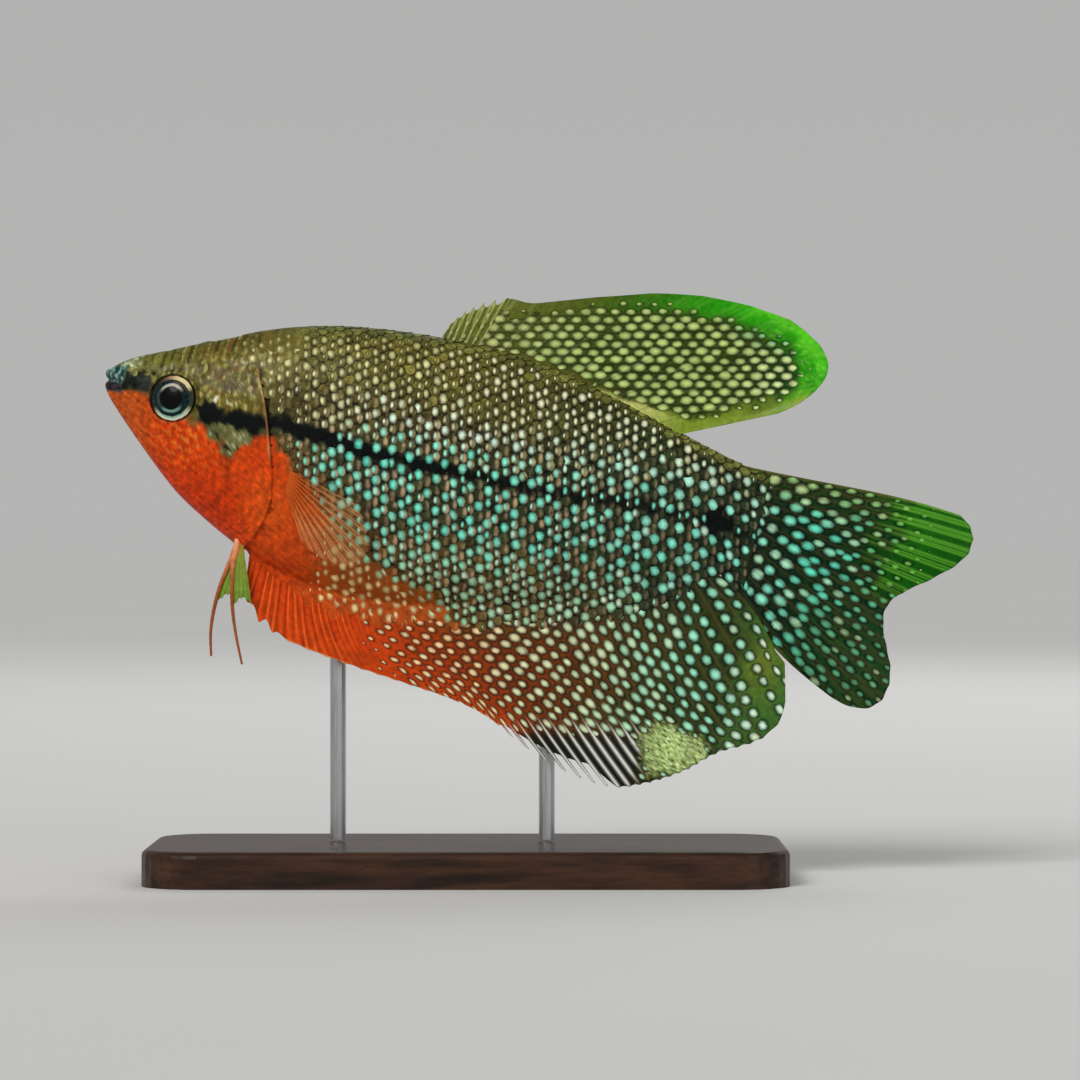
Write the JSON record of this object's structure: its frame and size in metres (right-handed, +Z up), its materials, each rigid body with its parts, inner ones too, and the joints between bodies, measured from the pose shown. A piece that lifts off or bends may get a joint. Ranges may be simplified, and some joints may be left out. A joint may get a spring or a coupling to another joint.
{
  "type": "pearl gourami model",
  "caption": "Life-size still model of a pearl gourami with spread fins and feeler-like pelvic fins, held nose up by short rods on a flat display base.",
  "frame": {"origin": "middle of the whole model's outline seen from above, on the underside of the stand's base", "axes": "+X from the fish's snout towards its tail, +Y towards the fish's right side, +Z up; the fish faces -X, pitched 13.5 degrees nose up, and shows its left side to -Y"},
  "size_m": [0.1205, 0.042, 0.081],
  "materials": {
    "head_skin": "smooth satin skin, olive above and orange below, with a dark line through the eye",
    "pearl_skin": "satin scales with rows of pale pearl spots and a dark broken side line",
    "eye": "wet gloss, dark iris with a pale ring",
    "dorsal_membrane": "thin olive and green membrane with pale spots between raised rays",
    "anal_membrane": "thin orange to olive membrane with pale spots between raised rays",
    "caudal_membrane": "thin green membrane with pale spots between raised rays",
    "pectoral_membrane": "clear orange membrane with fine rays",
    "feeler": "orange brown feeler with a small green web",
    "stand_wood": "dark stained, satin",
    "stand_steel": "fine brushed"
  },
  "bodies": {
    "root": {"head": "head_skin", "gill_cover_left": "head_skin", "gill_cover_right": "head_skin", "eye_left": "eye", "eye_right": "eye", "torso": "pearl_skin", "tail_stalk": "pearl_skin", "dorsal_fin": "dorsal_membrane", "anal_fin": "anal_membrane", "caudal_fin": "caudal_membrane", "pectoral_fin_left": "pectoral_membrane", "pectoral_fin_right": "pectoral_membrane", "pelvic_fin_left": "feeler", "pelvic_fin_right": "feeler", "stand_base": "stand_wood", "stand_rod_front": "stand_steel", "stand_rod_rear": "stand_steel"}
  },
  "joints": []
}
